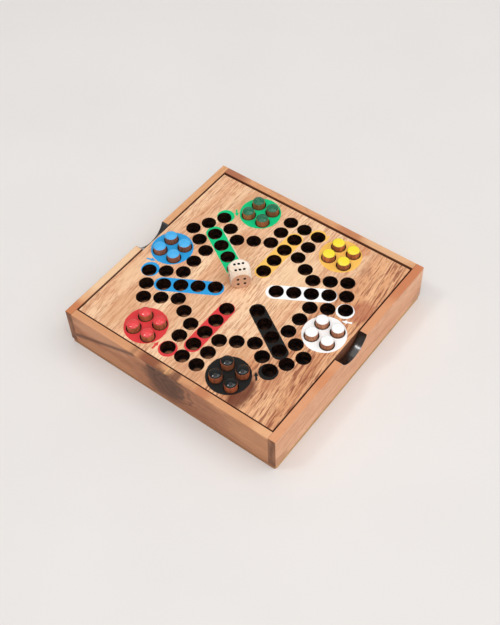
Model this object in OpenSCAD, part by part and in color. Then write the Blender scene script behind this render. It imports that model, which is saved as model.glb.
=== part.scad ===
// A square wooden box for a six-player ludo game. Four walls stand on a thin base panel, and strips inside
// them carry the playing board, which drops in flush with the wall tops and lifts out by two finger notches.
// Twenty-four pegs stand in the blind holes of the board, and the space under it stores them with the die.

/* [Box] */
// Outside width of the box, from the left wall to the right wall
box_width = 191; // [182:1:240]
// Outside depth of the box, from the front wall to the back wall
box_depth = 189; // [182:1:240]
// Height of the four walls above the base panel
wall_height = 32.3; // [28:0.1:45]
// Thickness of the four walls
wall_thickness = 6.2; // [5:0.1:7]
// Radius that eases the outside edges of the walls
wall_edge_radius = 0.8; // [0.2:0.1:1.5]
// Radius that eases the inside edge of the wall tops
rim_edge_radius = 0.4; // [0.2:0.1:1]
// Thickness of the base panel
base_thickness = 3.2; // [2:0.1:6]
// How far the base panel stands back from the faces of the walls
base_inset = 0.3; // [0:0.1:2]
// Radius of the base panel's corners
base_corner_radius = 2; // [1:0.5:6]

/* [Finger notches] */
// Radius of the round cutter that made the notches
notch_radius = 17; // [12:0.5:24]
// Depth of the notches below the tops of the walls
notch_depth = 10.5; // [5:0.5:11]
// How far the notches lie behind the middle of their walls
notch_shift = 0.5; // [-5:0.5:5]

/* [Ledge strips] */
// Width of the strips that carry the playing board
ledge_width = 5; // [3:0.5:8]

/* [Playing board] */
// Thickness of the playing board
board_thickness = 13; // [11.5:0.5:16]
// How far the board lies below the tops of the walls
board_recess = 0.4; // [0:0.1:3]
// Gap between the board and each of the left and right walls
board_side_gap = 1; // [0.3:0.05:2]
// Gap between the board and the front wall
board_front_gap = 0.9; // [0.3:0.05:2]
// Gap between the board and the back wall
board_back_gap = 1.7; // [0.3:0.05:2]
// Radius that eases the edges of the board
board_edge_radius = 0.4; // [0.2:0.1:1]

/* [Peg holes] */
// Diameter of every peg hole
hole_diameter = 11; // [10.4:0.1:11.8]
// Depth of every peg hole
hole_depth = 9.5; // [6:0.5:10.5]
// Distance from one hole to the next along the track
hole_pitch = 13; // [12.4:0.1:13.4]
// Distance from the board's centre to the first hole of each finish column
first_hole_distance = 22.6; // [20:0.1:24]
// Distance from the board's centre to the hole that links two arms of the track
link_hole_distance = 48.7; // [46:0.1:50]
// Distance between neighbouring holes in a home circle
home_hole_spacing = 13.4; // [12.4:0.1:14]
// Distance from the middle of a home circle to the left or right edge of the board
home_side_margin = 17.8; // [14:0.1:24]
// Distance from the middle of a home circle to the front or back edge of the board
home_end_margin = 18.4; // [14:0.1:22]
// Distance from the board's middle line to the home circles at its front and back
home_spread = 37.7; // [34:0.1:42]

/* [Pegs] */
// Diameter of a peg
peg_diameter = 9.6; // [8:0.1:9.8]
// How far a peg stands above the board
peg_stand = 5.2; // [3:0.1:12]
// Radius that rounds the painted top of a peg
peg_top_radius = 1; // [0.4:0.1:2]
// Bevel on the foot of a peg
peg_foot_bevel = 0.5; // [0.2:0.1:1]

/* [Die] */
// Side of the die
die_size = 15.6; // [14:0.1:18]
// How far the ball that rounds off the die's corners reaches past its faces
die_ball_reach = 2.8; // [2:0.1:4]
// Turn of the die on the board, in degrees
die_turn = 47.1; // [0:0.1:90]
// Diameter of a spot on the die
spot_diameter = 2.2; // [1.4:0.1:2.8]
// Depth of a spot
spot_depth = 0.5; // [0.2:0.1:0.8]
// Distance between neighbouring spots in a row of three
spot_step = 3.2; // [2.8:0.1:3.8]
// Distance between the two rows of three
spot_row_gap = 5.8; // [5:0.1:6.4]
// Distance between the spots of a square of four
spot_square = 5; // [4.4:0.1:6]

/* [Hidden] */
COLOURS = ["yellow", "white", "black", "red", "blue", "green"];
PAINTS = ["#f6dc2e", "#f2f2ee", "#1d1f1f", "#d8373d", "#4fb4ea", "#1f6e4d"];
PLAYERS = [0 : len(COLOURS) - 1];
PEGS_EACH = [1 : 4];
function peg_name(player, n) = str("peg_", COLOURS[player], "_", n);
$fn = 72;

// Extra length that carries a cut clear of the face that it starts from
cut_clear = 1;

// The box: heights are measured from the surface that it stands on
box_top = base_thickness + wall_height;
inner_width = box_width - 2 * wall_thickness;
inner_depth = box_depth - 2 * wall_thickness;

// The playing board: its centre lies a little forward, because the front gap is the narrower one
board_width = inner_width - 2 * board_side_gap;
board_depth = inner_depth - board_front_gap - board_back_gap;
board_y = (board_front_gap - board_back_gap) / 2;
board_top = box_top - board_recess;
board_bottom = board_top - board_thickness;
ledge_height = board_bottom - base_thickness;

// The track: six arms, one for each player, laid out clockwise from the back. They were drilled a little off
// the board's middle and off an even star.
ARM_STEP = -60;
FIRST_ARM_ANGLE = 90;
TRACK_MIDDLE = [-0.5, 0.1, 0];
ARM_TURN = [-0.9, 0.1, -0.3, 0.5, 1.2, 0.1];
ARM_SHIFT = [-0.6, 0.2, 0.2, 0.4, 0, -0.6];
FINISH_HOLES = [0 : 3];
OUTER_HOLE = 4;
SIDE_HOLES = [2 : 4];
LINK_ANGLE = -30;
function column_x(n) = first_hole_distance + n * hole_pitch;
arm_holes = concat(
    [for (n = FINISH_HOLES) [column_x(n), 0]],
    [[column_x(OUTER_HOLE), 0]],
    [for (n = SIDE_HOLES, side = [-1, 1]) [column_x(n), side * hole_pitch]],
    [link_hole_distance * [cos(LINK_ANGLE), sin(LINK_ANGLE)]]
);

// The home circles: one towards each end of the front and back edges and one at each side, all a little off too
HOME_SIDES = [[1, 1], [1, 0], [1, -1], [-1, -1], [-1, 0], [-1, 1]];
HOME_SHIFT = [[0.9, -0.4], [0, -0.2], [-0.3, 0], [0.1, -0.6], [0, -0.5], [0.2, -0.2]];
HOME_CORNERS = [[-1, 1], [1, 1], [1, -1], [-1, -1]];
function home_reach(side) =
    side.y == 0 ? [board_width / 2 - home_side_margin, 0] : [home_spread, board_depth / 2 - home_end_margin];
function home_place(player) =
    let (side = HOME_SIDES[player], reach = home_reach(side))
    [side.x * reach.x, side.y * reach.y] + HOME_SHIFT[player];
function peg_place(player, n) = home_place(player) + home_hole_spacing / 2 * HOME_CORNERS[n - 1];

// A peg stands on the floor of its hole
peg_length = hole_depth + peg_stand;

// The die lies near the board's centre, and its spots are dimples cut by a small ball
DIE_PLACE = [-8.9, 4.4];
DIE_FACES = [[6, [0, 0, 0]], [1, [180, 0, 0]], [4, [90, 0, 0]], [3, [-90, 0, 0]], [2, [0, 90, 0]], [5, [0, -90, 0]]];
spot_ball_radius = (pow(spot_diameter / 2, 2) + pow(spot_depth, 2)) / (2 * spot_depth);
square_spots = [for (x = [-1, 1], y = [-1, 1]) [x, y] * spot_square / 2];
diagonal_spots = [square_spots[0], square_spots[3]];
double_row_spots = [for (x = [-1 : 1], y = [-1, 1]) [x * spot_step, y * spot_row_gap / 2]];
function spots(count) =
    count == 6 ? double_row_spots :
    concat(count % 2 == 1 ? [[0, 0]] : [], count > 3 ? square_spots : count > 1 ? diagonal_spots : []);

// Shared shapes

module eased_rectangle(width, depth, radius) {
    square([width - 2 * radius, depth], center = true);
    square([width, depth - 2 * radius], center = true);
    for (x = [-1, 1], y = [-1, 1])
        translate([x * (width / 2 - radius), y * (depth / 2 - radius)])
            circle(radius);
}

// A block that stands on the origin, with all of its edges eased
module eased_block(width, depth, height, radius) {
    intersection() {
        linear_extrude(height)
            eased_rectangle(width, depth, radius);
        translate([0, 0, height / 2])
            rotate([90, 0, 0])
                linear_extrude(depth, center = true)
                    eased_rectangle(width, height, radius);
        translate([0, 0, height / 2])
            rotate([90, 0, 90])
                linear_extrude(width, center = true)
                    eased_rectangle(depth, height, radius);
    }
}

// Cuts the sharp edge that runs along X through the origin, where the solid lies at negative Y and Z
module edge_cut(length, radius) {
    rotate([90, 0, 90])
        linear_extrude(length, center = true)
            difference() {
                translate([-radius, -radius])
                    square(radius + cut_clear);
                translate([-radius, -radius])
                    circle(radius);
            }
}

// The four walls as one frame, from which each wall is taken
module wall_frame() {
    difference() {
        translate([0, 0, base_thickness])
            eased_block(box_width, box_depth, wall_height, wall_edge_radius);
        translate([0, 0, base_thickness + wall_height / 2])
            cube([inner_width, inner_depth, wall_height + 2 * cut_clear], center = true);
        for (turn = [0, 180]) {
            rotate(turn)
                translate([0, -inner_depth / 2, box_top])
                    edge_cut(inner_width, rim_edge_radius);
            rotate(turn + 90)
                translate([0, -inner_width / 2, box_top])
                    edge_cut(inner_depth, rim_edge_radius);
        }
    }
}

// The left and right walls run the whole depth of the box, and each has a finger notch in its top
module side_wall(side) {
    difference() {
        intersection() {
            wall_frame();
            translate([side * (box_width - wall_thickness) / 2, 0, box_top / 2])
                cube([wall_thickness, box_depth + 2 * cut_clear, box_top + 2 * cut_clear], center = true);
        }
        translate([side * (box_width - wall_thickness) / 2, notch_shift, box_top + notch_radius - notch_depth])
            rotate([0, 90, 0])
                cylinder(r = notch_radius, h = wall_thickness + 2 * cut_clear, center = true);
    }
}

// The front and back walls butt against the insides of the left and right walls
module end_wall(side) {
    intersection() {
        wall_frame();
        translate([0, side * (box_depth - wall_thickness) / 2, box_top / 2])
            cube([inner_width, wall_thickness, box_top + 2 * cut_clear], center = true);
    }
}

module side_ledge(side) {
    translate([side * (inner_width - ledge_width) / 2, 0, base_thickness + ledge_height / 2])
        cube([ledge_width, inner_depth, ledge_height], center = true);
}

module end_ledge(side) {
    translate([0, side * (inner_depth - ledge_width) / 2, base_thickness + ledge_height / 2])
        cube([inner_width - 2 * ledge_width, ledge_width, ledge_height], center = true);
}

// Cuts one peg hole down from the top of the board
module peg_hole(place) {
    translate([place.x, place.y, board_top - hole_depth])
        cylinder(d = hole_diameter, h = hole_depth + cut_clear);
}

// Sub-parts

module base_panel() {
    color("#c9a26b")
        linear_extrude(base_thickness)
            eased_rectangle(box_width - 2 * base_inset, box_depth - 2 * base_inset, base_corner_radius);
}

module wall_left() {
    color("#c58a5c") side_wall(-1);
}

module wall_right() {
    color("#c58a5c") side_wall(1);
}

module wall_front() {
    color("#a9714a") end_wall(-1);
}

module wall_back() {
    color("#bd7f55") end_wall(1);
}

module ledge_left() {
    color("#cda377") side_ledge(-1);
}

module ledge_right() {
    color("#cda377") side_ledge(1);
}

module ledge_front() {
    color("#cda377") end_ledge(-1);
}

module ledge_back() {
    color("#cda377") end_ledge(1);
}

module playing_board() {
    color("#dcaa7c")
        translate([0, board_y, 0])
            difference() {
                translate([0, 0, board_bottom])
                    eased_block(board_width, board_depth, board_thickness, board_edge_radius);
                for (player = PLAYERS) {
                    translate(TRACK_MIDDLE)
                        rotate(FIRST_ARM_ANGLE + ARM_STEP * player + ARM_TURN[player])
                            translate([ARM_SHIFT[player], 0, 0])
                                for (place = arm_holes)
                                    peg_hole(place);
                    for (n = PEGS_EACH)
                        peg_hole(peg_place(player, n));
                }
            }
}

// A dowel with a bevelled foot and a rounded, painted top
module peg(player, n) {
    place = peg_place(player, n);
    radius = peg_diameter / 2;
    shoulder = peg_length - peg_top_radius;
    color(PAINTS[player])
        translate([place.x, place.y + board_y, board_top - hole_depth])
            rotate_extrude() {
                polygon([[0, 0], [radius - peg_foot_bevel, 0], [radius, peg_foot_bevel], [radius, shoulder],
                    [0, shoulder]]);
                square([radius - peg_top_radius, peg_length]);
                intersection() {
                    translate([radius - peg_top_radius, shoulder])
                        circle(peg_top_radius);
                    square([radius, peg_length]);
                }
            }
}

// A cube whose corners are rounded off by a ball, with the spots of opposite faces adding up to seven
module die() {
    color("#ecd3b4")
        translate([DIE_PLACE.x, DIE_PLACE.y + board_y, board_top + die_size / 2])
            rotate(die_turn)
                difference() {
                    intersection() {
                        cube(die_size, center = true);
                        sphere(r = die_size / 2 + die_ball_reach);
                    }
                    for (face = DIE_FACES, spot = spots(face[0]))
                        rotate(face[1])
                            translate([spot.x, spot.y, die_size / 2 + spot_ball_radius - spot_depth])
                                sphere(r = spot_ball_radius, $fn = 32);
                }
}

base_panel();
wall_left();
wall_right();
wall_front();
wall_back();
ledge_left();
ledge_right();
ledge_front();
ledge_back();
playing_board();
die();
for (player = PLAYERS, n = PEGS_EACH)
    peg(player, n);
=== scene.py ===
import math

import bpy
from mathutils import Matrix, Vector


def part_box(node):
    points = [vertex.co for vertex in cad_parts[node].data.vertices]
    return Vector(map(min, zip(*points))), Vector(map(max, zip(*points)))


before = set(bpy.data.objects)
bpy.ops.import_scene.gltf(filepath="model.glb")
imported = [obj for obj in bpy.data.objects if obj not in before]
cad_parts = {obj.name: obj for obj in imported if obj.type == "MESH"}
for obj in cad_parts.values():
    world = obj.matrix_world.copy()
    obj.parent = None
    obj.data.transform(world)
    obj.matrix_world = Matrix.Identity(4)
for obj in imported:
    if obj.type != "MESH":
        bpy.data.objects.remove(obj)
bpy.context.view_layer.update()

# A square wooden game box with a lift-out peg board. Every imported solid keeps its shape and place, and gets
# its finish here: timber, painted marks, scorched holes and notches, glossy peg tops and a pale die.
# Lengths are in metres, or in millimetres where a comment says so.
MM = 0.001

# Sizes of the box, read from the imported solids
CASE_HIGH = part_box("wall_right")[1]
BOARD_LOW, BOARD_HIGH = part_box("playing_board")
BOARD_MIDDLE = (BOARD_LOW + BOARD_HIGH) / 2
DIE_LOW, DIE_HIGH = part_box("die")
PEG_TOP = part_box("peg_red_1")[1].z
HOLE_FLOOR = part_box("peg_red_1")[0].z

# The finger notches: the round cutter's radius, how deep it went into the wall, and where it stood
NOTCH_RADIUS = 17 * MM
NOTCH_DEPTH = 10.5 * MM
NOTCH_HEIGHT = CASE_HIGH.z + NOTCH_RADIUS - NOTCH_DEPTH
NOTCH_Y = 0.5 * MM

# The walls' thickness, and one ply of the base panel
WALL = 6.2 * MM
PLY = 1.07 * MM

# The pegs and their holes in millimetres: the radius of each, the first hole of an arm, the step to the
# next, the hole that links two arms, and how far those of a home circle lie from its middle along each axis
PEG_RADIUS = 4.8
HOLE_RADIUS = 5.5
FIRST_HOLE = 22.6
HOLE_STEP = 13
LINK_HOLE = (42.18, -24.35)
HOME_HOLE = 6.7

# The middle of the painted track, from the middle of the board, in millimetres
TRACK_MIDDLE = (-0.5, 0.1)

# In millimetres: the scorch fades between these two distances beyond the edge of a hole, and the bare wood
# on a hole's floor fades to soot between these two distances from its middle: painted shade at its edge
SCORCH_FADE = (0.4, 0.15)
BARE_FLOOR_SHADED_EDGE = (4.4, 3.2)

# The board reddens between these two places on its way to the right edge
REDDENING = (42 * MM, 68 * MM)

# The die's turn on the board, half its side, and the radius of the ball that rounds its corners
DIE_TURN = math.radians(47.1)
DIE_HALF = (DIE_HIGH.z - DIE_LOW.z) / 2
DIE_BALL = DIE_HALF + 2.8 * MM

# How far under a flat face and inside the ball the black of the die's dimples starts
DIMPLE_UNDER = 0.012 * MM
DIMPLE_INSIDE = 0.3 * MM

# Finish of the bare and the painted surfaces
WOOD_SPECULAR = 0.22
PAINT_SPECULAR = 0.5
BUMP_STRENGTH = 0.6
DOWEL_ROUGHNESS = 0.65
GLOSS_ROUGHNESS = 0.07

# How far the plain floor reaches from the middle of the box
FLOOR_REACH = 3.0

# The strength of the white room: as a light, and as the camera sees it behind the floor
ROOM_LIGHT = 0.34
SEEN_ROOM = 0.82

# The square lamps, all at one distance and facing the box: heading and height above the level in degrees,
# the length of a side in metres, and the power in watts
LAMP_DISTANCE = 3.0
LAMPS = {
    "ceiling_lamp": (0, 90, 3.6, 30),
    "front_lamp": (-50, 50, 3.0, 29),
    "right_lamp": (28, 52, 2.1, 22),
    "left_lamp": (-132, 61, 0.55, 10),
}

# The camera: its place, the way it looks, and its lens
CAMERA_PLACE = Vector((0.304863, -0.370276, 0.61168))
CAMERA_HEADING = math.radians(129.246)
CAMERA_DOWN = math.radians(51.578)
CAMERA_ROLL = math.radians(-2.754)
CAMERA_LENS = 72.84

# An arrow in millimetres: its length, half its shaft's width, how far the shaft reaches past its middle, and
# how much half the head's width grows with each millimetre back from the tip
ARROW_LENGTH = 7.6
ARROW_SHAFT = 0.75
ARROW_NECK = 0.5
ARROW_TAPER = 0.45

# How closely the rings of a knot follow each other
KNOT_RINGS = 21

# The painted marks in millimetres. A bar runs along its arm of the track, from the track's middle outwards:
# its start and end, how far it lies to the left of the arm at either end, and half its width. A home disc
# has its place from the middle of the box, a ring round a start hole its place and radius, and an arrow its
# place and its heading in degrees. Slip is how far the arm's holes lie outwards from their even places.
HOME_RADIUS = 16.4
PAINT_EDGE = 0.16
PLAYERS = {
    "yellow": {
        "paint": "#ffc64e", "cover": 0.84, "angle": 89.1, "slip": -0.6, "bar": (14.9, 68.0, 0.2, 0.2, 6.5),
        "home": (38.4, 67.5), "ring": (13.1, 74.5, 6.5), "arrow": (19.9, 75.9, -91),
    },
    "white": {
        "paint": "#fefefd", "cover": 1, "angle": 30.1, "slip": 0.2, "bar": (14.9, 68.0, -0.6, -0.6, 6.5),
        "home": (70.5, -1.0), "ring": (71.0, 25.0, 6.9), "arrow": (77.5, 17.5, -158),
    },
    "black": {
        "paint": "#141413", "cover": 1, "angle": -30.3, "slip": 0.2, "bar": (16.2, 70.0, 0.2, -0.2, 6.2),
        "home": (37.0, -69.2), "ring": (57.6, -50.6, 7.1), "arrow": (52.9, -58.5, 129),
    },
    "red": {
        "paint": "#df3c3f", "cover": 1, "angle": -89.5, "slip": 0.4, "bar": (17.1, 69.4, 0.2, 0.2, 6.3),
        "home": (-38.4, -69.5), "ring": (-12.2, -76.3, 7.1), "arrow": (-21.4, -78.9, 90),
    },
    "blue": {
        "paint": "#2a9fdf", "cover": 1, "angle": -148.8, "slip": 0, "bar": (15.7, 68.9, 1.3, -0.1, 6.6),
        "home": (-70.9, -0.8), "ring": (-71.0, -26.6, 7.1), "arrow": (-76.7, -18.8, 17),
    },
    "green": {
        "paint": "#00c87f", "cover": 1, "angle": 150.1, "slip": -0.6, "bar": (15.5, 69.0, -0.1, -0.3, 6.7),
        "home": (-37.9, 68.2), "ring": (-58.1, 49.9, 6.9), "arrow": (-53.3, 57.8, -47),
    },
}

# Pegs: the paint of the top, the paler scuffs in it, how strong they are, the crown that the bump gives the
# top, in millimetres, and the bare wood of the sides
PEGS = {
    "yellow": ("#fde636", "#fff27a", 0.3, 0.7, "#dc8450"),
    "white": ("#fdfdfc", "#ffffff", 0.2, 0.5, "#d99a74"),
    "black": ("#0c0d0d", "#242626", 0.3, 3.3, "#c4653c"),
    "red": ("#f04649", "#f8837c", 0.25, 3.2, "#cf7a50"),
    "blue": ("#4bb4f0", "#86d0f8", 0.35, 0.8, "#cb7b57"),
    "green": ("#1a6f4d", "#74ab92", 0.5, 2.6, "#cc7a45"),
}


def shade(colour):
    """The linear colour of a written one such as #c08040."""
    parts = [int(colour[i:i + 2], 16) / 255 for i in (1, 3, 5)]
    return [c / 12.92 if c <= 0.04045 else ((c + 0.055) / 1.055) ** 2.4 for c in parts] + [1]


class Tree:
    """Adds nodes to one shader tree. A socket given for an input is linked to it, and a value is set."""

    def __init__(self, tree):
        self.tree = tree

    def node(self, kind, inputs=(), **settings):
        made = self.tree.nodes.new(kind)
        for name, value in settings.items():
            setattr(made, name, value)
        for name, value in dict(inputs).items():
            self.feed(made.inputs[name], value)
        return made

    def feed(self, socket, value):
        if isinstance(value, bpy.types.NodeSocket):
            self.tree.links.new(value, socket)
        else:
            socket.default_value = value

    def math(self, operation, *values):
        return self.node("ShaderNodeMath", enumerate(values), operation=operation).outputs[0]

    def vector(self, operation, *values):
        made = self.node("ShaderNodeVectorMath", enumerate(values), operation=operation)
        return made.outputs["Value" if operation in ("LENGTH", "DISTANCE", "DOT_PRODUCT") else "Vector"]

    def join(self, x, y, z):
        return self.node("ShaderNodeCombineXYZ", {"X": x, "Y": y, "Z": z}).outputs[0]

    def split(self, place):
        return self.node("ShaderNodeSeparateXYZ", {"Vector": place}).outputs[:]

    def noise(self, place, waves, detail=2.0, roughness=0.5):
        """Noise from 0 to 1 with so many waves to the metre along each axis."""
        stretched = self.vector("MULTIPLY", place, waves)
        settings = {"Vector": stretched, "Scale": 1.0, "Detail": detail, "Roughness": roughness}
        return self.node("ShaderNodeTexNoise", settings).outputs["Fac"]

    def rise(self, value, low, high, top=1.0):
        """0 below low and top above high, eased between them. With low above high it falls instead."""
        ends = {"Value": value, "From Min": low, "From Max": high, "To Max": top}
        return self.node("ShaderNodeMapRange", ends, interpolation_type="SMOOTHSTEP").outputs["Result"]

    def skin(self, value, face, start, full):
        """The layer under a face: 0 up to start and 1 from full, both in millimetres short of the face.
        Negative ones lie beyond it."""
        return self.rise(value, face - start * MM, face - full * MM)

    def mix(self, amount, first, second):
        """The first colour where the amount is 0 and the second where it is 1."""
        made = self.node("ShaderNodeMix", data_type="RGBA")
        self.feed(made.inputs[0], amount)
        self.feed(made.inputs[6], first)
        self.feed(made.inputs[7], second)
        return made.outputs[2]

    def use(self, group, inputs):
        made = self.node("ShaderNodeGroup", node_tree=group)
        for name, value in inputs.items():
            self.feed(made.inputs[name], value)
        return made.outputs


def node_group(name, takes, gives, work):
    """A shader node group. takes and gives map a socket's name to its kind. work makes the inner nodes."""
    inner = bpy.data.node_groups.new(name, "ShaderNodeTree")
    for title, kind in takes.items():
        inner.interface.new_socket(title, in_out="INPUT", socket_type="NodeSocket" + kind)
    for title, kind in gives.items():
        inner.interface.new_socket(title, in_out="OUTPUT", socket_type="NodeSocket" + kind)
    tree = Tree(inner)
    results = work(tree, tree.node("NodeGroupInput").outputs)
    tree.node("NodeGroupOutput", results)
    return inner


def grain_nodes(tree, given):
    """Wood grain that runs along the first axis, or leans from it: slow bands that wander, thin streaks,
    short dashes between them, and fine open pores."""
    x, y, z = tree.split(given["Vector"])
    lean = tree.math("MULTIPLY", x, given["Lean"])
    place = tree.join(x, tree.math("ADD", y, lean), z)
    wander = tree.noise(place, (7, 16, 16), 2)
    sway = tree.math("MULTIPLY", tree.math("SUBTRACT", wander, 0.5), 0.02)
    moved = tree.vector("ADD", place, tree.join(0.0, sway, sway))
    band = tree.rise(tree.noise(moved, (4, 85, 60), 3, 0.55), 0.36, 0.66)
    streak = tree.rise(tree.noise(moved, (16, 560, 380), 3, 0.6), 0.5, 0.68)
    dash = tree.rise(tree.noise(moved, (66, 760, 380), 1.5, 0.5), 0.555, 0.625)
    pore = tree.rise(tree.noise(place, (150, 1350, 1350), 1.5), 0.53, 0.63)
    colour = tree.mix(band, given["Light"], given["Dark"])
    for mark, strength in ((streak, "Streaks"), (dash, "Dashes"), (pore, "Pores")):
        colour = tree.mix(tree.math("MULTIPLY", mark, given[strength]), colour, given["Line"])
    depth = tree.math("ADD", tree.math("MULTIPLY", streak, 0.35), tree.math("MULTIPLY", pore, 0.65))
    return {"Colour": colour, "Height": tree.math("SUBTRACT", 1.0, depth)}


GRAIN = node_group(
    "wood_grain",
    {
        "Vector": "Vector", "Lean": "Float", "Light": "Color", "Dark": "Color", "Line": "Color",
        "Streaks": "Float", "Dashes": "Float", "Pores": "Float",
    },
    {"Colour": "Color", "Height": "Float"},
    grain_nodes,
)


def soft_patch_nodes(tree, given):
    """A soft patch: 1 inside an uneven ellipsoid round Centre that reaches as far as Reach, 0 outside."""
    away = tree.vector("DIVIDE", tree.vector("SUBTRACT", given["Vector"], given["Centre"]), given["Reach"])
    uneven = tree.math("SUBTRACT", tree.noise(given["Vector"], (55, 55, 90), 3, 0.6), 0.5)
    far = tree.math("ADD", tree.vector("LENGTH", away), tree.math("MULTIPLY", uneven, given["Uneven"]))
    return {"Mask": tree.rise(far, 1.1, 0.5)}


SOFT_PATCH = node_group(
    "soft_patch",
    {"Vector": "Vector", "Centre": "Vector", "Reach": "Vector", "Uneven": "Float"},
    {"Mask": "Float"},
    soft_patch_nodes,
)


def print_edge(tree, beyond, place, edge):
    """Turns the distance beyond a mark's outline, in millimetres, into a mask with an uneven edge."""
    uneven = tree.math("SUBTRACT", tree.noise(place, (0.5, 0.5, 0.5), 2), 0.5)
    beyond = tree.math("ADD", beyond, tree.math("MULTIPLY", uneven, 0.7))
    return tree.rise(beyond, edge, tree.math("SUBTRACT", 0.0, edge))


def bar_nodes(tree, given):
    """A bar with round ends: the distance to the line from Start to End, less half the bar's width."""
    place = given["Vector"]
    along = tree.vector("SUBTRACT", given["End"], given["Start"])
    gone = tree.vector("SUBTRACT", place, given["Start"])
    length_squared = tree.vector("DOT_PRODUCT", along, along)
    share = tree.math("DIVIDE", tree.vector("DOT_PRODUCT", gone, along), length_squared)
    share = tree.math("MINIMUM", tree.math("MAXIMUM", share, 0.0), 1.0)
    foot = tree.vector("MULTIPLY", along, tree.join(share, share, share))
    beyond = tree.math("SUBTRACT", tree.vector("DISTANCE", gone, foot), given["Half Width"])
    return {"Mask": print_edge(tree, beyond, place, given["Edge"])}


BAR = node_group(
    "painted_bar",
    {"Vector": "Vector", "Start": "Vector", "End": "Vector", "Half Width": "Float", "Edge": "Float"},
    {"Mask": "Float"},
    bar_nodes,
)


def arrow_nodes(tree, given):
    """A short arrow: a shaft of one width, and a head that narrows to the tip."""
    place = given["Vector"]
    gone = tree.vector("SUBTRACT", place, given["Place"])
    ahead = tree.vector("DOT_PRODUCT", gone, given["Heading"])
    aside = tree.vector("LENGTH", tree.vector("CROSS_PRODUCT", gone, given["Heading"]))
    past_neck = tree.math("SUBTRACT", ahead, ARROW_NECK)
    shaft = tree.math("MAXIMUM", tree.math("SUBTRACT", aside, ARROW_SHAFT), past_neck)
    shaft = tree.math("MAXIMUM", shaft, tree.math("SUBTRACT", -ARROW_LENGTH / 2, ahead))
    taper = tree.math("MULTIPLY", tree.math("SUBTRACT", ARROW_LENGTH / 2, ahead), ARROW_TAPER)
    head = tree.math("MAXIMUM", tree.math("SUBTRACT", aside, taper), tree.math("SUBTRACT", 0.0, ahead))
    return {"Mask": print_edge(tree, tree.math("MINIMUM", shaft, head), place, PAINT_EDGE)}


ARROW = node_group(
    "painted_arrow",
    {"Vector": "Vector", "Place": "Vector", "Heading": "Vector"},
    {"Mask": "Float"},
    arrow_nodes,
)


def hole_nodes(tree, given):
    """The distance in millimetres to the middle of the nearest of one player's holes: the middle column of
    five, the three beside it on either hand, the link to the next arm, and the four of the home."""
    gone = tree.vector("SUBTRACT", given["Vector"], given["Middle"])
    out = tree.vector("DOT_PRODUCT", gone, given["Heading"])
    left = tree.vector("DOT_PRODUCT", gone, given["Left"])
    past = tree.math("SUBTRACT", out, FIRST_HOLE)
    row = tree.math("ROUND", tree.math("DIVIDE", past, HOLE_STEP))
    found = tree.vector("LENGTH", tree.join(
        tree.math("SUBTRACT", out, LINK_HOLE[0]), tree.math("SUBTRACT", left, LINK_HOLE[1]), 0.0,
    ))
    beside = tree.math("SUBTRACT", tree.math("ABSOLUTE", left), HOLE_STEP)
    for first, aside in ((0, left), (2, beside)):
        nearest = tree.math("MINIMUM", tree.math("MAXIMUM", row, first), 4)
        off = tree.math("SUBTRACT", past, tree.math("MULTIPLY", nearest, HOLE_STEP))
        found = tree.math("MINIMUM", found, tree.vector("LENGTH", tree.join(off, aside, 0.0)))
    home = tree.vector("ABSOLUTE", tree.vector("SUBTRACT", given["Vector"], given["Home"]))
    home = tree.vector("LENGTH", tree.vector("SUBTRACT", home, (HOME_HOLE, HOME_HOLE, 0)))
    return {"Distance": tree.math("MINIMUM", found, home)}


HOLES = node_group(
    "nearest_hole",
    {"Vector": "Vector", "Middle": "Vector", "Heading": "Vector", "Left": "Vector", "Home": "Vector"},
    {"Distance": "Float"},
    hole_nodes,
)


def knot_nodes(tree, given):
    """A knot: a dark heart, and uneven rings round it that fade at the distance of Reach."""
    away = tree.vector("DIVIDE", tree.vector("SUBTRACT", given["Vector"], given["Centre"]), given["Reach"])
    uneven = tree.math("SUBTRACT", tree.noise(given["Vector"], (0.11, 0.11, 0.11), 2), 0.5)
    far = tree.math("ADD", tree.vector("LENGTH", away), tree.math("MULTIPLY", uneven, 0.7))
    ring = tree.rise(tree.math("SINE", tree.math("MULTIPLY", far, KNOT_RINGS)), 0.1, 0.95)
    ring = tree.math("MULTIPLY", ring, tree.rise(far, 1.15, 0.55))
    return {"Mask": tree.math("MAXIMUM", ring, tree.rise(far, 0.3, 0.12))}


KNOT = node_group(
    "knot",
    {"Vector": "Vector", "Centre": "Vector", "Reach": "Vector"},
    {"Mask": "Float"},
    knot_nodes,
)


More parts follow.
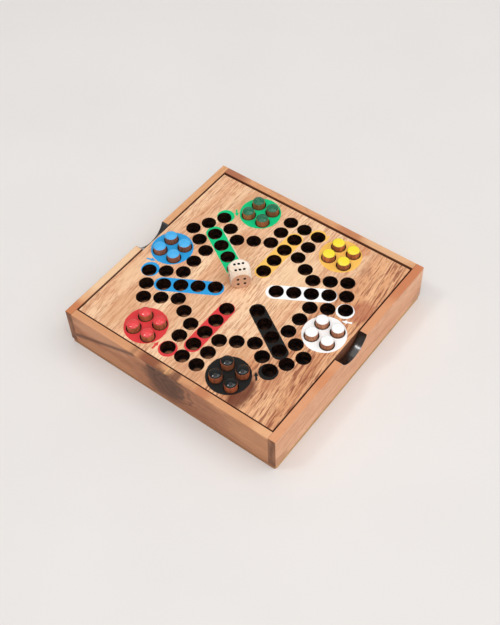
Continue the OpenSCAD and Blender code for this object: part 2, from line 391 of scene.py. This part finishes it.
class Finish:
    """One material: its tree, the object coordinates in metres, and the shader that it all feeds."""

    def __init__(self, name, **shader):
        self.material = bpy.data.materials.new(name)
        self.material.use_nodes = True
        self.material.node_tree.nodes.clear()
        self.tree = Tree(self.material.node_tree)
        self.place = self.tree.node("ShaderNodeTexCoord").outputs["Object"]
        self.in_mm = self.tree.vector("MULTIPLY", self.place, (1 / MM,) * 3)
        settings = {"Specular IOR Level": WOOD_SPECULAR} | shader
        self.shader = self.tree.node("ShaderNodeBsdfPrincipled", settings)
        self.tree.node("ShaderNodeOutputMaterial", {"Surface": self.shader.outputs[0]})

    def surface(self, colour, roughness, height, depth):
        """Feeds the shader. depth is the bump in metres that a height of 1 stands for."""
        tree = self.tree
        bump = tree.node("ShaderNodeBump", {"Height": height, "Distance": depth, "Strength": BUMP_STRENGTH})
        for name, value in (("Base Color", colour), ("Roughness", roughness), ("Normal", bump.outputs[0])):
            tree.feed(self.shader.inputs[name], value)
        return self.material

    def wood(self, grain_axes, offset, tones, streaks=0.3, dashes=0.2, pores=0.28, lean=0.0):
        """Grain in three tones: light, dark and line. grain_axes names the axes along, across and through,
        and offset picks the piece of timber."""
        x, y, z = self.tree.split(self.place)
        axes = {"x": x, "y": y, "z": z}
        place = self.tree.vector("ADD", self.tree.join(*(axes[a] for a in grain_axes)), offset)
        colours = {name: shade(tone) for name, tone in zip(("Light", "Dark", "Line"), tones)}
        marks = {"Streaks": streaks, "Dashes": dashes, "Pores": pores, "Lean": lean}
        return self.tree.use(GRAIN, {"Vector": place, **marks, **colours})

    def tint(self, colour, mask, tone, strength=1.0):
        """Lays a tone over a colour where the mask is, as strongly as it says."""
        return self.tree.mix(self.tree.math("MULTIPLY", mask, strength), colour, shade(tone))

    def tone_patches(self, colour, patches):
        """Soft patches: each has a centre and a reach in millimetres, a tone and its strength."""
        for centre, reach, tone, strength in patches:
            mask = self.tree.use(SOFT_PATCH, {
                "Vector": self.place, "Centre": [c * MM for c in centre], "Reach": [r * MM for r in reach],
                "Uneven": 0.8,
            })["Mask"]
            colour = self.tint(colour, mask, tone, strength)
        return colour

    def lines(self, colour, place, lines):
        """Soft lines: each has its start and end, half its width and its softness in millimetres, a tone
        and its strength."""
        for start, end, half, edge, tone, strength in lines:
            line = {"Vector": place, "Start": start, "End": end, "Half Width": half, "Edge": edge}
            colour = self.tint(colour, self.tree.use(BAR, line)["Mask"], tone, strength)
        return colour


def arm_point(angle, out, left):
    """A point of an arm of the track: so far out from the track's middle and so far to its left."""
    turn = math.radians(angle)
    return (
        BOARD_MIDDLE.x / MM + TRACK_MIDDLE[0] + out * math.cos(turn) - left * math.sin(turn),
        BOARD_MIDDLE.y / MM + TRACK_MIDDLE[1] + out * math.sin(turn) + left * math.cos(turn),
        0,
    )


def heading_vector(angle):
    return math.cos(math.radians(angle)), math.sin(math.radians(angle)), 0


def player_marks(tree, flat, player):
    """The mask of all of one player's marks: home disc, start ring, bar and arrow."""
    start, end, left_start, left_end, half = player["bar"]
    angle = player["angle"]
    # A disc is a bar of hardly any length
    discs = [(*player["home"], HOME_RADIUS), player["ring"]]
    bars = [((x, y, 0), (x + 0.01, y, 0), radius) for x, y, radius in discs]
    bars.append((arm_point(angle, start + half, left_start), arm_point(angle, end - half, left_end), half))
    arrow_x, arrow_y, heading = player["arrow"]
    arrow = {"Vector": flat, "Place": (arrow_x, arrow_y, 0), "Heading": heading_vector(heading)}
    joined = tree.use(ARROW, arrow)["Mask"]
    for first, last, width in bars:
        bar = {"Vector": flat, "Start": first, "End": last, "Half Width": width, "Edge": PAINT_EDGE}
        joined = tree.math("MAXIMUM", joined, tree.use(BAR, bar)["Mask"])
    return joined


def home_middle(name):
    """The middle of a player's four pegs, in millimetres."""
    corners = [corner for number in (1, 2, 3, 4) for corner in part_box(f"peg_{name}_{number}")]
    middle = sum(corners, Vector()) / len(corners) / MM
    return middle.x, middle.y, 0


def nearest_hole(tree, flat):
    """The distance in millimetres to the middle of the nearest hole of the board."""
    # It starts further off than any hole is
    found = 1000.0
    for name, player in PLAYERS.items():
        holes = tree.use(HOLES, {
            "Vector": flat, "Home": home_middle(name),
            "Middle": arm_point(player["angle"], player["slip"], 0),
            "Heading": heading_vector(player["angle"]), "Left": heading_vector(player["angle"] + 90),
        })
        found = tree.math("MINIMUM", found, holes["Distance"])
    return found


def board_finish():
    """Pale wood that reddens towards the right edge, the painted marks, and the scorched holes."""
    finish = Finish("board_finish")
    tree = finish.tree
    x, y, z = tree.split(finish.place)
    sap = finish.wood(
        "yxz", (0.3, 0.1, 0), ("#fed7af", "#edb78e", "#ac6641"),
        streaks=0.38, dashes=0.38, pores=0.46, lean=0.03,
    )
    heart = finish.wood(
        "yxz", (0.7, 0.4, 0), ("#f4bc8e", "#da996d", "#84402a"),
        streaks=0.48, dashes=0.68, pores=0.5, lean=0.09,
    )
    wander = tree.math("SUBTRACT", tree.noise(finish.place, (25, 14, 1), 3), 0.5)
    wander = tree.math("MULTIPLY", wander, 0.05)
    redness = tree.rise(tree.math("ADD", x, wander), *REDDENING)
    # The front right corner is as red as the edge
    corner = tree.use(SOFT_PATCH, {
        "Vector": finish.place, "Centre": (0.052, -0.082, 0.035), "Reach": (0.036, 0.05, 0.03),
        "Uneven": 0.9,
    })["Mask"]
    colour = tree.mix(tree.math("MAXIMUM", redness, corner), sap["Colour"], heart["Colour"])
    colour = finish.tone_patches(colour, [
        ((-48, 68, 35), (16, 24, 30), "#d39a6e", 0.5),
        ((-30, 28, 35), (14, 26, 30), "#d89d72", 0.45),
        ((-24, -36, 35), (13, 52, 30), "#d79e75", 0.35),
        # Painted shadow: the next patch is the die's shadow on the board
        ((-18, 2, 35), (10, 10, 30), "#cc9063", 0.4),
        ((-64, -70, 35), (10, 24, 30), "#d99c6e", 0.5),
        ((24, 30, 35), (16, 34, 30), "#fbd6ab", 0.6),
        ((-78, -32, 35), (9, 26, 30), "#fad2a8", 0.5),
        ((32, -46, 35), (8, 14, 30), "#cf9468", 0.5),
        ((14, -82, 35), (20, 8, 30), "#cd8f66", 0.5),
        ((81, 30, 35), (9, 14, 30), "#b3664a", 0.7),
        ((48, 82, 35), (9, 9, 30), "#d07d49", 0.6),
        ((64, -54, 35), (9, 14, 30), "#b87350", 0.5),
        ((53, -76, 35), (9, 19, 30), "#6b3522", 0.9),
    ])

    # A thin pale line runs beside the green bar
    flat = tree.vector("MULTIPLY", finish.in_mm, (1, 1, 0))
    green = PLAYERS["green"]["angle"]
    colour = finish.lines(colour, flat, [
        (arm_point(green, 20, -7.3), arm_point(green, 66, -7.5), 0.5, 0.5, "#f7e9dc", 0.6),
    ])

    painted = 0.0
    marks = {name: player_marks(tree, flat, player) for name, player in PLAYERS.items()}
    for name, player in PLAYERS.items():
        mask = tree.math("MULTIPLY", marks[name], player["cover"])
        colour = tree.mix(mask, colour, shade(player["paint"]))
        painted = tree.math("MAXIMUM", painted, mask)

    # Painted shade: the side faces of the board are darker, as down in the gap by the walls
    for axis, low, high in ((x, BOARD_LOW.x, BOARD_HIGH.x), (y, BOARD_LOW.y, BOARD_HIGH.y)):
        from_middle = tree.math("ABSOLUTE", tree.math("SUBTRACT", axis, (low + high) / 2))
        edge = tree.skin(from_middle, (high - low) / 2, 0.35, 0.1)
        colour = finish.tint(colour, edge, "#693b29", 0.88)

    # Soot lines the holes, with bare wood on the floor of those towards the left and none in the black bar's.
    # Those further right keep a sooty floor, as painted shade
    distance = nearest_hole(tree, flat)
    char = tree.math("SUBTRACT", tree.noise(finish.in_mm, (0.9, 0.9, 0.9), 2), 0.5)
    char = tree.math("ADD", distance, tree.math("MULTIPLY", char, 0.5))
    inside = tree.rise(char, HOLE_RADIUS + SCORCH_FADE[0], HOLE_RADIUS + SCORCH_FADE[1])
    inside = tree.math("MULTIPLY", inside, tree.math("GREATER_THAN", z, BOARD_LOW.z + 1 * MM))
    soot = tree.noise(finish.place, (300, 300, 500), 3)
    scorch = tree.mix(tree.rise(soot, 0.4, 0.7), shade("#0c0706"), shade("#3a2117"))
    floor = tree.math("LESS_THAN", z, HOLE_FLOOR + 0.3 * MM)
    # Painted shade: the bare floor darkens towards its edge and fades out towards the right of the board
    floor = tree.math("MULTIPLY", floor, tree.rise(distance, *BARE_FLOOR_SHADED_EDGE))
    floor = tree.math("MULTIPLY", floor, tree.rise(x, 0.06, -0.02, 0.9))
    not_black = tree.math("SUBTRACT", 1.0, tree.math("MULTIPLY", marks["black"], 0.85))
    scorch = finish.tint(scorch, tree.math("MULTIPLY", floor, not_black), "#b37a56")
    colour = tree.mix(inside, colour, scorch)

    roughness = tree.math("SUBTRACT", 0.55, tree.math("MULTIPLY", painted, 0.15))
    height = tree.math("MAXIMUM", sap["Height"], painted)
    return finish.surface(colour, roughness, height, 0.15 * MM)


# The walls: how the grain runs, the piece of timber, its tones, the soot's paler tone where a wall has a
# notch, the tint of the top face, patches of tone, lines along the outer face and the knot, in millimetres.
# The tones and top tints also paint light: the right wall's outer face is paler than its top, as if lit,
# and the front wall's outer face darker than its top, as painted shade
WALLS = {
    "wall_left": {
        "axes": "yxz", "offset": (0.2, 0.9, 0.3), "tones": ("#f0ba8c", "#dfa472", "#96552f"),
        "notch": "#15100e",
        "top": ("#eab080", 0.3),
        "tone_patches": [
            ((-92, -40, 36), (20, 34, 14), "#f4cda4", 0.9),
            ((-92, -92, 36), (20, 14, 14), "#c77549", 0.85),
        ],
    },
    "wall_right": {
        # Pale tones under a darker top: painted light on the outer face, as if lit from the right
        "axes": "yxz", "offset": (1.1, 0.2, 0.7), "tones": ("#f9c59f", "#edb18a", "#bb7048"),
        "notch": "#26170f",
        "top": ("#dd986d", 0.85),
        "tone_patches": [
            ((92, 78, 37.5), (12, 36, 5), "#c8774e", 0.75),
            ((92, -34, 37.5), (12, 16, 5), "#d4875b", 0.6),
            ((95, 94, 6), (6, 16, 10), "#c08a6c", 0.6),
            ((95, -94, 6), (6, 18, 10), "#c0835f", 0.6),
        ],
        "lines": [
            ((0, -96, 10), (0, -12, 20.5), 0.4, 0.8, "#c4835f", 0.75),
            ((0, -12, 20.5), (0, 96, 8), 0.4, 0.8, "#c4835f", 0.75),
        ],
    },
    "wall_front": {
        # Dark tones under a paler top: partly the wood's own tone, partly painted shade on the outer face
        "axes": "xyz", "offset": (0.5, 0.6, 0.1), "tones": ("#d2946c", "#b97a55", "#683824"), "notch": "",
        "top": ("#e3a577", 0.75),
        "tone_patches": [
            ((-62, -95, 29), (32, 5, 10), "#dca07a", 0.75),
            ((-60, -95, 8), (40, 5, 9), "#cf9168", 0.6),
            ((16, -95, 16), (50, 5, 26), "#9c6346", 0.55),
            ((-2, -95, 22), (22, 5, 22), "#64402f", 0.85),
            ((78, -95, 22), (28, 5, 16), "#d0946b", 0.6),
            ((-17, -92, 37), (14, 10, 4), "#8c5038", 0.9),
            ((8, -92, 37), (5, 10, 4), "#8d5a45", 0.8),
            ((32, -92, 37), (9, 10, 4), "#ba6e4b", 0.6),
            ((84, -92, 37), (12, 10, 4), "#f1ba8b", 0.6),
        ],
        "lines": [
            ((-92, 0, 11), (-30, 0, 34), 1.6, 1.8, "#55342a", 0.8),
            ((-16, 0, 32), (-10, 0, 32), 1.4, 1.0, "#33211b", 0.7),
            ((-0.6, 0, 35.4), (1.8, 0, 35.4), 0.3, 0.4, "#e8b27a", 0.7),
        ],
        "knot": ((7, 0, 23), (24, 1, 18)),
    },
    "wall_back": {
        "axes": "xyz", "offset": (0.9, 0.3, 0.5), "tones": ("#e8ad80", "#d49261", "#8f4f2d"), "notch": "",
        "top": ("#e2a173", 0.2),
        "tone_patches": [
            ((-84, 92, 30), (20, 12, 30), "#a9664c", 0.85),
            ((30, 92, 30), (14, 12, 30), "#bd7551", 0.6),
            ((66, 92, 30), (26, 12, 30), "#efc094", 0.6),
        ],
    },
}


def scorch_notch(finish, colour, tone):
    """Soot in the notch: everything nearer than its radius to the middle of the round cutter. Gives the new
    colour and the mask of the sooted face."""
    tree = finish.tree
    side_on = tree.vector("MULTIPLY", finish.place, (0, 1, 1))
    gone = tree.vector("SUBTRACT", side_on, (0, NOTCH_Y, NOTCH_HEIGHT))
    cut = tree.skin(tree.vector("LENGTH", gone), NOTCH_RADIUS, -0.3, -0.1)
    soot = tree.noise(finish.place, (30, 260, 260), 3)
    return tree.mix(cut, colour, tree.mix(soot, shade("#090605"), shade(tone))), cut


def wall_finish(name, wall):
    """One wall: its grain, patches of tone and lines, painted shade on the inner face, darker end grain and a
    scorched notch.
    """
    finish = Finish(name + "_finish", **{"Coat Roughness": 0.16, "Coat IOR": 1.8})
    tree = finish.tree
    x, y, z = tree.split(finish.place)
    grain = finish.wood(wall["axes"], wall["offset"], wall["tones"])
    # The top face gets its own tint; on the right and front walls it and their tones paint light and shade
    colour = finish.tint(grain["Colour"], tree.skin(z, CASE_HIGH.z, 0.9, 0.3), *wall["top"])
    colour = finish.tone_patches(colour, wall["tone_patches"])
    flat = tree.vector("MULTIPLY", finish.in_mm, (0, 1, 1) if wall["notch"] else (1, 0, 1))
    colour = finish.lines(colour, flat, wall.get("lines", []))
    if "knot" in wall:
        centre, reach = wall["knot"]
        knot = tree.use(KNOT, {"Vector": flat, "Centre": centre, "Reach": reach})["Mask"]
        colour = finish.tint(colour, knot, "#3a2921", 0.45)
    across, high = (x, CASE_HIGH.x) if wall["notch"] else (y, CASE_HIGH.y)
    # Painted shade: the inner face is darker, as down in the gap beside the board
    inner = tree.skin(tree.math("ABSOLUTE", across), high - WALL, -0.35, -0.1)
    colour = finish.tint(colour, inner, "#6e3c28", 0.85)
    roughness = 0.5
    if wall["notch"]:
        end = tree.skin(tree.math("ABSOLUTE", y), CASE_HIGH.y, 0.5, 0.2)
        ring = tree.rise(tree.noise(finish.place, (260, 40, 90), 2, 0.5), 0.3, 0.7)
        foot = tree.rise(z, 16 * MM, 2 * MM, 0.5)
        end_tone = finish.tint(tree.mix(ring, shade("#7a4c35"), shade("#a06d4d")), foot, "#5a3626")
        colour = tree.mix(end, colour, end_tone)
        colour, cut = scorch_notch(finish, colour, wall["notch"])
        roughness = tree.math("SUBTRACT", 0.5, tree.math("MULTIPLY", cut, 0.25))
        tree.feed(finish.shader.inputs["Coat Weight"], cut)
    return finish.surface(colour, roughness, grain["Height"], 0.12 * MM)


def strip_finish():
    """Bare sawn wood of the ledge strips."""
    finish = Finish("strip_finish")
    grain = finish.wood("xyz", (0.1, 0.2, 0.9), ("#e2b88c", "#cf9f72", "#a5764e"))
    return finish.surface(grain["Colour"], 0.75, grain["Height"], 0.2 * MM)


def base_finish():
    """Plywood: a yellowish face, glue lines between the plies at its edge, and painted shade on its front
    edge.
    """
    finish = Finish("base_finish")
    tree = finish.tree
    grain = finish.wood("yxz", (0.4, 0.7, 0.2), ("#e9be86", "#d5a46c", "#9c6a3c"))
    y, z = tree.split(finish.place)[1:]
    ply = tree.math("SINE", tree.math("MULTIPLY", z, 2 * math.pi / PLY))
    colour = finish.tint(grain["Colour"], tree.rise(ply, 0.2, 1.0), "#9a6238", 0.35)
    # Painted shade on the front edge, under the shaded front wall
    colour = finish.tint(colour, tree.rise(y, -93 * MM, -94 * MM), "#9a6040", 0.75)
    return finish.surface(colour, 0.6, grain["Height"], 0.15 * MM)


def peg_finish(player):
    """A dowel: grain up its side, and glossy paint on its crowned top that runs a little over the edge."""
    paint, scuff, scuffed, crown, wood = PEGS[player]
    finish = Finish(player + "_peg_finish", **{"Specular IOR Level": PAINT_SPECULAR})
    tree = finish.tree
    z = tree.split(finish.place)[2]
    grain = finish.wood("zxy", (0.3, 0.5, 0.1), (wood, "#a4603d", "#5b2f1c"), streaks=0.4, pores=0.4)
    run = tree.math("SUBTRACT", tree.noise(finish.place, (160, 160, 60), 2), 0.5)
    run = tree.math("MULTIPLY", run, 0.9 * MM)
    painted = tree.skin(tree.math("ADD", z, run), PEG_TOP, 0.6, 0.4)
    wear = tree.rise(tree.noise(finish.place, (420, 420, 420), 3, 0.65), 0.5, 0.72, scuffed)
    colour = tree.mix(painted, grain["Colour"], tree.mix(wear, shade(paint), shade(scuff)))
    smoothed = tree.math("MULTIPLY", painted, DOWEL_ROUGHNESS - GLOSS_ROUGHNESS)
    roughness = tree.math("SUBTRACT", DOWEL_ROUGHNESS, smoothed)
    flat = tree.vector("MULTIPLY", finish.in_mm, (1, 1, 0))
    from_home = tree.vector("ABSOLUTE", tree.vector("SUBTRACT", flat, home_middle(player)))
    from_axis = tree.vector("DISTANCE", from_home, (HOME_HOLE, HOME_HOLE, 0))
    # The crown falls off with the square of the distance from the peg's axis
    share = tree.math("DIVIDE", from_axis, PEG_RADIUS)
    dome = tree.math("MULTIPLY", tree.math("POWER", share, 2), -crown)
    rough_side = tree.math("MULTIPLY", tree.math("SUBTRACT", 1.0, painted), grain["Height"])
    crowned = tree.math("MULTIPLY", dome, painted)
    height = tree.math("ADD", crowned, tree.math("MULTIPLY", rough_side, 0.1))
    return finish.surface(colour, roughness, height, 1 * MM)


def die_finish():
    """Pale wood, browner on the faces of three and four: end grain, and on the four, which faces the front,
    also painted shade. Black paint in the dimples.
    """
    finish = Finish("die_finish")
    tree = finish.tree
    grain = finish.wood("xyz", (0.8, 0.4, 0.2), ("#fff1e2", "#f8e2cd", "#d9b594"))
    middle = (DIE_LOW + DIE_HIGH) / 2
    turned = tree.node("ShaderNodeMapping", {
        "Vector": tree.vector("SUBTRACT", finish.place, list(middle)), "Rotation": (0, 0, -DIE_TURN),
    }).outputs[0]
    across, along, up = (tree.math("ABSOLUTE", a) for a in tree.split(turned))
    # End grain, and painted shade on the face of four, browner than the lit top
    end = tree.skin(along, DIE_HALF, 0.35, 0.15)
    colour = finish.tint(grain["Colour"], end, "#e3ae8c", 0.85)
    # A dimple's floor lies under a flat face but inside the ball that rounds the corners
    widest = tree.math("MAXIMUM", across, tree.math("MAXIMUM", along, up))
    hollow = tree.math("LESS_THAN", widest, DIE_HALF - DIMPLE_UNDER)
    ball = tree.math("LESS_THAN", tree.vector("LENGTH", turned), DIE_BALL - DIMPLE_INSIDE)
    colour = finish.tint(colour, tree.math("MULTIPLY", hollow, ball), "#050404")
    return finish.surface(colour, 0.5, grain["Height"], 0.08 * MM)


def floor_finish():
    """A plain pale surface, a little uneven in tone."""
    finish = Finish("floor_finish")
    tone = finish.tree.noise(finish.place, (9, 9, 9), 3)
    colour = finish.tree.mix(tone, shade("#e5e1de"), shade("#ece8e5"))
    return finish.surface(colour, 0.9, tone, 0.2 * MM)


def dress(node, material):
    """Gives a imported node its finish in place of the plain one."""
    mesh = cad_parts[node].data
    mesh.materials.clear()
    mesh.materials.append(material)


def add_floor():
    mesh = bpy.data.meshes.new("floor")
    corners = [(x * FLOOR_REACH, y * FLOOR_REACH, 0) for x, y in ((-1, -1), (1, -1), (1, 1), (-1, 1))]
    mesh.from_pydata(corners, [], [(0, 1, 2, 3)])
    mesh.materials.append(floor_finish())
    floor = bpy.data.objects.new("floor", mesh)
    bpy.context.scene.collection.objects.link(floor)


def direction(heading, up):
    """A step of length one along a heading and up from the level, both in radians."""
    return Vector((math.cos(heading) * math.cos(up), math.sin(heading) * math.cos(up), math.sin(up)))


def add_camera():
    """Looks along a heading and down from the level, then rolls a little about its own line of sight."""
    camera = bpy.data.cameras.new("camera")
    camera.sensor_fit = "HORIZONTAL"
    camera.sensor_width = 36
    camera.lens = CAMERA_LENS
    forward = direction(CAMERA_HEADING, -CAMERA_DOWN)
    right = forward.cross(Vector((0, 0, 1))).normalized()
    up = right.cross(forward)
    right, up = (
        math.cos(CAMERA_ROLL) * right + math.sin(CAMERA_ROLL) * up,
        math.cos(CAMERA_ROLL) * up - math.sin(CAMERA_ROLL) * right,
    )
    turned = Matrix((right, up, -forward)).transposed().to_4x4()
    rig = bpy.data.objects.new("camera", camera)
    rig.matrix_world = Matrix.Translation(CAMERA_PLACE) @ turned
    bpy.context.scene.collection.objects.link(rig)
    bpy.context.scene.camera = rig


def add_lamp(name, heading, up, side, power):
    """A square soft lamp that faces the middle of the box."""
    lamp = bpy.data.lights.new(name, "AREA")
    lamp.size = side
    lamp.energy = power
    rig = bpy.data.objects.new(name, lamp)
    away = direction(math.radians(heading), math.radians(up))
    rig.location = away * LAMP_DISTANCE
    rig.rotation_euler = away.to_track_quat("Z", "Y").to_euler()
    bpy.context.scene.collection.objects.link(rig)


def add_light():
    """A white room, wide lamps overhead and in front, and two smaller ones for shadows and highlights."""
    world = bpy.data.worlds.new("world")
    world.use_nodes = True
    sky = Tree(world.node_tree)
    seen = sky.node("ShaderNodeLightPath").outputs["Is Camera Ray"]
    background = world.node_tree.nodes["Background"]
    background.inputs["Color"].default_value = (1, 1, 1, 1)
    brighter = sky.math("MULTIPLY", seen, SEEN_ROOM - ROOM_LIGHT)
    sky.feed(background.inputs["Strength"], sky.math("ADD", ROOM_LIGHT, brighter))
    bpy.context.scene.world = world
    for name, (heading, up, side, power) in LAMPS.items():
        add_lamp(name, heading, up, side, power)


dress("playing_board", board_finish())
for wall_name, wall_parts in WALLS.items():
    dress(wall_name, wall_finish(wall_name, wall_parts))
dress("base_panel", base_finish())
strip = strip_finish()
for side_name in ("left", "right", "front", "back"):
    dress("ledge_" + side_name, strip)
dress("die", die_finish())
for player_name in PLAYERS:
    peg_paint = peg_finish(player_name)
    for number in range(1, 5):
        dress(f"peg_{player_name}_{number}", peg_paint)

add_floor()
add_light()
add_camera()
bpy.context.scene.view_settings.view_transform = "Standard"
